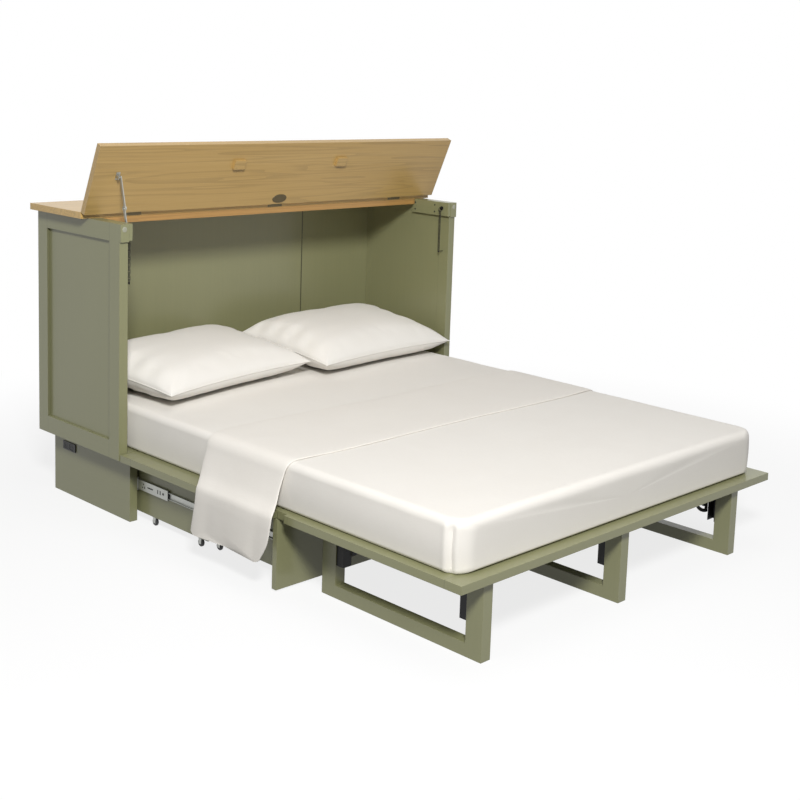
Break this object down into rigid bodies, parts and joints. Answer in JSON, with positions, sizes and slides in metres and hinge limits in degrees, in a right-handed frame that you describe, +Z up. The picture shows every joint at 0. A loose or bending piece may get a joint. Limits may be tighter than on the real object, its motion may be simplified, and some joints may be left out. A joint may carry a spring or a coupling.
{
  "type": "cabinet bed",
  "caption": "Cabinet bed opened out: framed wooden cabinet with lifted lid, folding two-part deck on leg frames, folding mattress, pillows and throw, and a drawer run out under the deck.",
  "frame": {"origin": "on the floor under the middle of the opened bed, midway between the cabinet's rear face and the deck's foot end", "axes": "+Z up, +Y toward the head, where the cabinet stands, X across the bed with the power outlet on the -X side"},
  "size_m": [1.694, 2.089, 1.311],
  "materials": {
    "sage_paint": "sage-green paint, satin, brushed",
    "oak": "clear-oiled oak",
    "black_metal": "black powder coat",
    "outlet_plastic": "black moulded",
    "steel": "zinc plated",
    "caster_wheel": "black nylon",
    "mattress_cover": "warm off-white fitted sheet",
    "pillow_fabric": "warm off-white cotton",
    "blanket_fabric": "off-white brushed blanket"
  },
  "bodies": {
    "cabinet": {"left_side_frame": "sage_paint", "left_side_panel": "sage_paint", "right_side_frame": "sage_paint", "right_side_panel": "sage_paint", "back_panel_wide": "sage_paint", "back_panel_narrow": "sage_paint", "platform": "sage_paint", "plinth": "sage_paint", "fixed_top": "oak", "top_hinge_fixed_leaves": "steel", "cleat_left": "sage_paint", "cleat_right": "sage_paint", "stay_side_bracket": "steel", "power_outlet": "outlet_plastic", "plinth_slides": "steel", "front_hinge_cabinet_leaves": "steel", "mattress_head": "mattress_cover", "pillow_left": "pillow_fabric", "pillow_right": "pillow_fabric", "chain_left": "black_metal", "chain_right": "black_metal"},
    "pin_left": {"safety_pin_left": "black_metal"},
    "pin_right": {"safety_pin_right": "black_metal"},
    "lid": {"lid": "oak", "lid_stop_blocks": "oak", "stay_lid_bracket": "steel", "top_hinge_lid_leaves": "steel"},
    "stay_upper": {"stay_upper_arm": "steel"},
    "stay_lower": {"stay_lower_arm": "steel"},
    "inner_deck": {"inner_deck_frame": "sage_paint", "inner_deck_panels": "sage_paint", "front_hinge_deck_leaves": "steel", "fold_hinge_inner_leaves": "steel", "mattress_middle": "mattress_cover", "blanket": "blanket_fabric"},
    "outer_deck": {"outer_deck_frame": "sage_paint", "outer_deck_panels": "sage_paint", "fold_hinge_outer_leaves": "steel", "leg_brackets": "black_metal", "mattress_foot": "mattress_cover"},
    "leg_left": {"leg_frame_left": "sage_paint", "leg_hinge_left": "black_metal"},
    "leg_middle": {"leg_frame_middle": "sage_paint", "leg_hinge_middle": "black_metal"},
    "leg_right": {"leg_frame_right": "sage_paint", "leg_hinge_right": "black_metal"},
    "carriage": {"carriage_frame": "sage_paint", "carriage_slides": "steel", "carriage_caster_forks": "steel"},
    "carriage_rear": {"carriage_rear_wheels": "caster_wheel"},
    "carriage_front": {"carriage_front_wheels": "caster_wheel"},
    "first_middle": {"first_slide_middles": "steel"},
    "second_middle": {"second_slide_middles": "steel"},
    "drawer": {"drawer_box": "sage_paint", "drawer_bottom": "sage_paint", "drawer_front": "sage_paint", "drawer_slides": "steel", "drawer_caster_forks": "steel"},
    "drawer_caster": {"drawer_wheels": "caster_wheel"}
  },
  "joints": [
    {"name": "lid_hinge", "type": "hinge", "parent": "cabinet", "child": "lid", "pos_m": [0, 0.706, 1.0686], "axis": [1, 0, 0], "range_deg": [0, 66.6]},
    {"name": "stay_lid_pivot", "type": "hinge", "parent": "lid", "child": "stay_upper", "pos_m": [-0.752, 0.61559, 1.19292], "axis": [1, 0, 0], "range_deg": [0, 15.47]},
    {"name": "stay_side_pivot", "type": "hinge", "parent": "cabinet", "child": "stay_lower", "pos_m": [-0.752, 0.5665, 1.005], "axis": [-1, 0, 0], "range_deg": [0, 83.45]},
    {"name": "front_hinge", "type": "hinge", "parent": "cabinet", "child": "inner_deck", "pos_m": [0, 0.5125, 0.258], "axis": [-1, 0, 0], "range_deg": [0, 90], "deforming": ["mattress_head", "mattress_middle", "mattress_foot", "pillow_left", "pillow_right", "blanket"]},
    {"name": "fold_hinge", "type": "hinge", "parent": "inner_deck", "child": "outer_deck", "pos_m": [0, -0.2685, 0.258], "axis": [-1, 0, 0], "range_deg": [0, 180], "deforming": ["mattress_head", "mattress_middle", "mattress_foot", "pillow_left", "pillow_right", "blanket"]},
    {"name": "leg_left_hinge", "type": "hinge", "parent": "outer_deck", "child": "leg_left", "pos_m": [-0.627, -0.6945, 0.226], "axis": [0, -1, 0], "range_deg": [0, 90]},
    {"name": "leg_middle_hinge", "type": "hinge", "parent": "outer_deck", "child": "leg_middle", "pos_m": [0, -0.6945, 0.226], "axis": [0, -1, 0], "range_deg": [0, 90]},
    {"name": "leg_right_hinge", "type": "hinge", "parent": "outer_deck", "child": "leg_right", "pos_m": [0.587, -0.6945, 0.226], "axis": [0, 1, 0], "range_deg": [0, 90]},
    {"name": "drawer_slide", "type": "slide", "parent": "cabinet", "child": "drawer", "axis": [0, 1, 0], "range_m": [0, 0.789]},
    {"name": "carriage_slide", "type": "slide", "parent": "cabinet", "child": "carriage", "axis": [0, 1, 0], "range_m": [0, 0.3945]},
    {"name": "first_middle_slide", "type": "slide", "parent": "cabinet", "child": "first_middle", "axis": [0, 1, 0], "range_m": [0, 0.19725]},
    {"name": "second_middle_slide", "type": "slide", "parent": "cabinet", "child": "second_middle", "axis": [0, 1, 0], "range_m": [0, 0.59175]},
    {"name": "drawer_caster_turn", "type": "hinge", "parent": "drawer", "child": "drawer_caster", "pos_m": [0, 0.1185, 0.014], "axis": [1, 0, 0], "continuous": true},
    {"name": "carriage_rear_turn", "type": "hinge", "parent": "carriage", "child": "carriage_rear", "pos_m": [0, 0.4495, 0.014], "axis": [1, 0, 0], "continuous": true},
    {"name": "carriage_front_turn", "type": "hinge", "parent": "carriage", "child": "carriage_front", "pos_m": [0, 0.1855, 0.014], "axis": [1, 0, 0], "continuous": true},
    {"name": "pin_left_slide", "type": "slide", "parent": "cabinet", "child": "pin_left", "axis": [1, 0, 0], "range_m": [0, 0.045], "deforming": ["chain_left"]},
    {"name": "pin_right_slide", "type": "slide", "parent": "cabinet", "child": "pin_right", "axis": [-1, 0, 0], "range_m": [0, 0.045], "deforming": ["chain_right"]}
  ],
  "couplings": [
    {"joint": "stay_lid_pivot", "follows": "lid_hinge", "ratio": 0.22474},
    {"joint": "stay_side_pivot", "follows": "lid_hinge", "ratio": 1.2455},
    {"joint": "carriage_slide", "follows": "drawer_slide", "ratio": 0.5},
    {"joint": "first_middle_slide", "follows": "drawer_slide", "ratio": 0.25},
    {"joint": "second_middle_slide", "follows": "drawer_slide", "ratio": 0.75}
  ]
}
